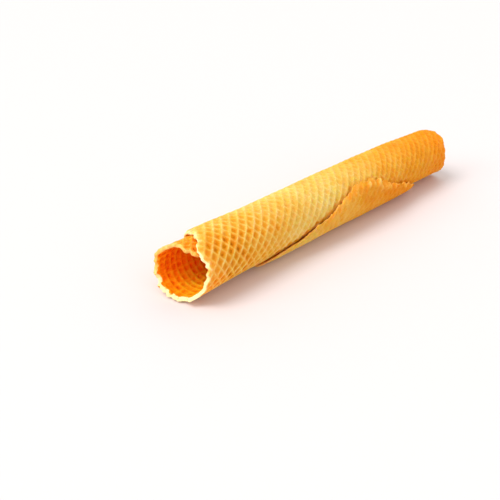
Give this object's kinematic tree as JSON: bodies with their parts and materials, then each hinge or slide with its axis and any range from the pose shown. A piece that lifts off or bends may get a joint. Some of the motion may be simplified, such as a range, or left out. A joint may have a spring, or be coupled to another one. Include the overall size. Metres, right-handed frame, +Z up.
{
  "type": "wafer stick",
  "caption": "Thin round wafer pressed with a fine grid on both faces and rolled up into a long hollow stick, with a ragged rim, a free flap along one side and an open bore.",
  "frame": {"origin": "under the middle of the stick, on the surface that it lies on", "axes": "+X along the stick, from the end that shows its two laps to the toasted end; +Z up; the free flap's arched edge is on the -Y side"},
  "size_m": [0.1988, 0.0268, 0.0256],
  "materials": {
    "baked_wafer": "dry, matt, golden baked crust: pale on the ridges and broken edges, toasted orange in the cells and in the bore"
  },
  "bodies": {
    "root": {"wafer_roll": "baked_wafer"}
  },
  "joints": []
}
